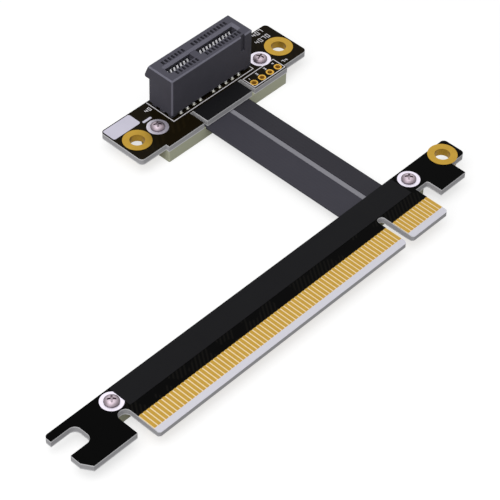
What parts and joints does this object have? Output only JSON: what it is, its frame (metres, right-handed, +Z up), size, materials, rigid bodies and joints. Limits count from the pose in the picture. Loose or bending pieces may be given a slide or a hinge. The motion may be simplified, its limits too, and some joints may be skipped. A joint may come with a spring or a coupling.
{
  "type": "pcie extension cable",
  "caption": "Flat ribbon extension lead that joins a full-length bevelled card edge to a short keyed card socket on its own small board, with clamp blocks and gold eyelets for mounting screws.",
  "frame": {"origin": "bottom centre of the part's outer box, on the surface that both clamp blocks rest on", "axes": "+X along the edge card towards its eyelet, +Y from the card's mating edge towards the socket board, +Z up out of the card slot"},
  "size_m": [0.117, 0.0684, 0.0154],
  "materials": {
    "board_mask": "glossy black solder mask over glass laminate",
    "gold_plating": "bright gold plating",
    "tape": "satin black insulating tape",
    "block_laminate": "bare olive-beige glass laminate, cut edges",
    "screw_steel": "bright nickel plate",
    "housing_plastic": "dark slate moulded plastic",
    "contact_metal": "bright plated spring metal",
    "solder": "tin solder",
    "ribbon_jacket": "smooth dark grey jacket",
    "drain_jacket": "mid grey jacket",
    "copper": "bare tinned copper"
  },
  "bodies": {
    "root": {"edge_card_board": "board_mask", "edge_contacts_top": "gold_plating", "edge_contacts_bottom": "gold_plating", "edge_card_eyelet": "gold_plating", "edge_card_tape": "tape", "edge_card_clamp_block": "block_laminate", "edge_card_screws": "screw_steel", "edge_card_screw_rings": "screw_steel", "edge_card_nuts": "screw_steel", "cable_ribbon_wide": "ribbon_jacket", "cable_drain_strip": "drain_jacket", "cable_ribbon_narrow": "ribbon_jacket", "edge_card_cable_tails": "copper", "socket_board_cable_tails": "copper", "socket_board": "board_mask", "socket_board_tape": "tape", "socket_board_eyelets": "gold_plating", "header_hole_rings": "gold_plating", "socket_clamp_block": "block_laminate", "socket_board_screws": "screw_steel", "socket_board_screw_rings": "screw_steel", "socket_board_nuts": "screw_steel", "socket_housing": "housing_plastic", "socket_contacts_front": "contact_metal", "socket_contacts_rear": "contact_metal", "socket_lands": "solder", "socket_solder_joints": "solder"}
  },
  "joints": []
}
